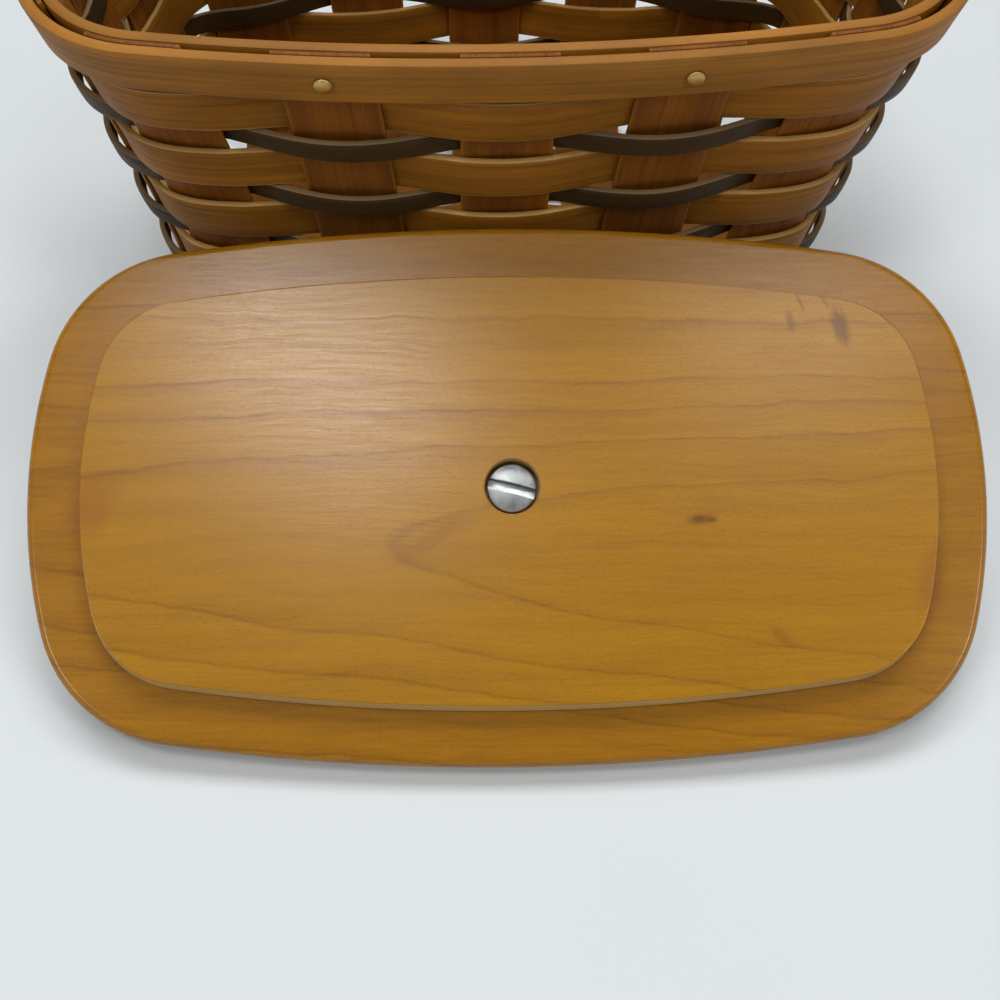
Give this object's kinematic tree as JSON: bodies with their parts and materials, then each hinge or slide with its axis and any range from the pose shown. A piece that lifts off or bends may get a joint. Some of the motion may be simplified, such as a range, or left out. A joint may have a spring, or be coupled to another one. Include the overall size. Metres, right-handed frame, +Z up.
{
  "type": "lidded basket",
  "caption": "Rectangular woven splint basket with flared sides, rim bands and a loose solid-wood lid with raised inner panel, screw-on knob and eased edges",
  "frame": {"origin": "middle of the basket's foot, on the underside of the middle cross splint", "axes": "+Z up; X along the basket's long side; the lid lies towards -Y"},
  "size_m": [0.2399, 0.2509, 0.1194],
  "materials": {
    "lid_wood": "honey-stained maple with a satin clear coat",
    "knob_wood": "honey-stained maple with a satin clear coat",
    "screw_steel": "bright zinc-plated steel",
    "splint_wood": "stained maple splint, satin",
    "broad_weaver_wood": "stained maple splint, satin",
    "dyed_weaver_wood": "dark olive-green dyed splint, satin",
    "band_wood": "stained maple band, satin",
    "tack_brass": "plain brass"
  },
  "bodies": {
    "basket": {"cross_splint_1": "splint_wood", "cross_splint_2": "splint_wood", "cross_splint_3": "splint_wood", "cross_splint_4": "splint_wood", "cross_splint_5": "splint_wood", "long_splint_1": "splint_wood", "long_splint_2": "splint_wood", "long_splint_3": "splint_wood", "broad_weaver_1": "broad_weaver_wood", "broad_weaver_2": "broad_weaver_wood", "broad_weaver_3": "broad_weaver_wood", "broad_weaver_4": "broad_weaver_wood", "broad_weaver_5": "broad_weaver_wood", "narrow_weaver_1": "dyed_weaver_wood", "narrow_weaver_2": "dyed_weaver_wood", "narrow_weaver_3": "dyed_weaver_wood", "narrow_weaver_4": "dyed_weaver_wood", "rim_band_outer": "band_wood", "rim_band_inner": "band_wood", "rim_tack_1": "tack_brass", "rim_tack_2": "tack_brass", "rim_tack_3": "tack_brass", "rim_tack_4": "tack_brass", "rim_tack_5": "tack_brass", "rim_tack_6": "tack_brass", "rim_tack_7": "tack_brass", "rim_tack_8": "tack_brass"},
    "lid": {"lid_board": "lid_wood", "lid_knob": "knob_wood", "knob_screw": "screw_steel"}
  },
  "joints": [
    {"name": "lid_lift", "type": "slide", "parent": "basket", "child": "lid", "axis": [-0.0138, -0.428, 0.9037], "range_m": [0, 0.15]}
  ]
}
